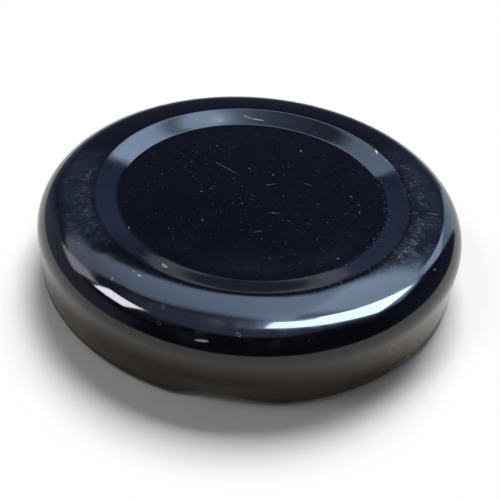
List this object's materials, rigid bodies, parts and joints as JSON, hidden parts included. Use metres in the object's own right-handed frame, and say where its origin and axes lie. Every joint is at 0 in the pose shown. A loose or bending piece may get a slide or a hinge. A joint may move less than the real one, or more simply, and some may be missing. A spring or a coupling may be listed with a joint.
{
  "type": "jar lid",
  "caption": "Round black twist-off metal jar lid with a recessed panel, rolled foot, folded lugs and a sealing ring inside.",
  "frame": {"origin": "middle of the rolled foot, on the plane that the lid stands on, open side down", "axes": "+Z along the lid's axis, out of its closed top; -Y, +X, +Y and -X each pass through the deepest point of a lug"},
  "size_m": [0.0556, 0.0556, 0.01],
  "materials": {
    "lacquered_tinplate": "gloss",
    "sealing_compound": "matte"
  },
  "bodies": {
    "root": {"lid_shell": "lacquered_tinplate", "sealing_ring": "sealing_compound"}
  },
  "joints": []
}
